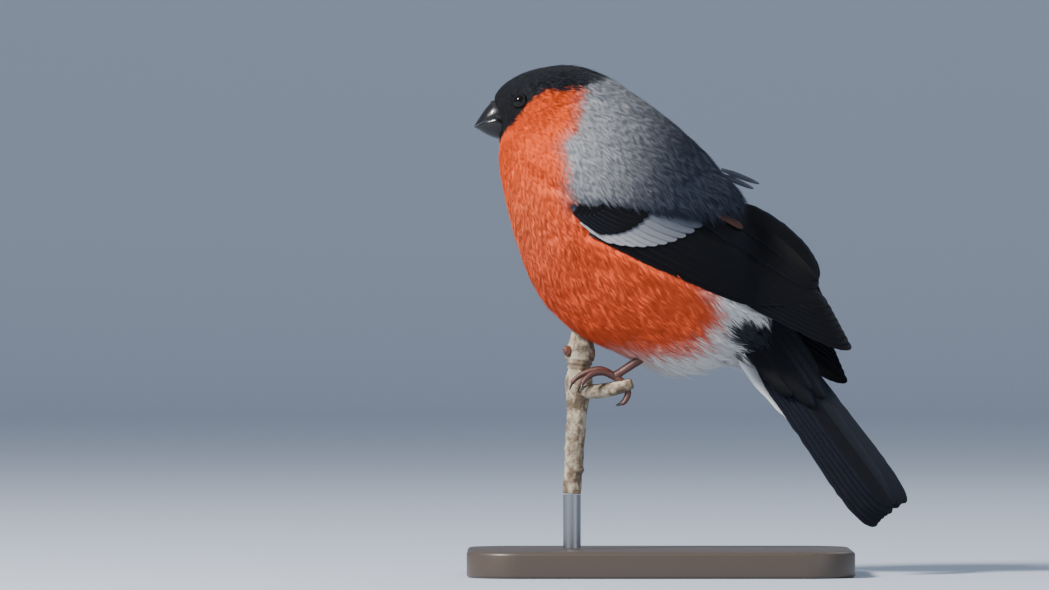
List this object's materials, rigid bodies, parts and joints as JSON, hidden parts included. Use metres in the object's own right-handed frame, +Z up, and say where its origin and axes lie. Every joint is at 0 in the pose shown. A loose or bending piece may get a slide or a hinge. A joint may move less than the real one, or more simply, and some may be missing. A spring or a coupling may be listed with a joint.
{
  "type": "bullfinch",
  "caption": "Male bullfinch as a still, life-size model: plump round body, stubby bill, folded wings and long tail, perched on a short cut twig over a plain flat stand",
  "frame": {"origin": "bottom centre of the whole model's bounding box, on the table under the stand", "axes": "+Z up, the bird faces -X, its left side faces -Y"},
  "size_m": [0.1196, 0.074, 0.1383],
  "materials": {
    "cap": "short feathers with a soft blue gloss",
    "plumage": "soft loose feathers, matte",
    "flight": "smooth feather vanes, blue-black gloss",
    "bill": "smooth horn, glossy",
    "eye": "wet gloss",
    "leg": "scaled skin, satin",
    "bark": "smooth twig bark, matte",
    "stand_metal": "satin",
    "stand_board": "dark stain, satin"
  },
  "bodies": {
    "root": {"head": "cap", "neck": "plumage", "torso": "plumage", "tail": "flight", "wing_left": "flight", "wing_right": "flight", "bill_upper": "bill", "bill_lower": "bill", "eye_left": "eye", "eye_right": "eye", "leg_left": "leg", "leg_right": "leg", "foot_left": "leg", "foot_right": "leg", "perch": "bark", "stand_rod": "stand_metal", "stand_base": "stand_board"}
  },
  "joints": []
}
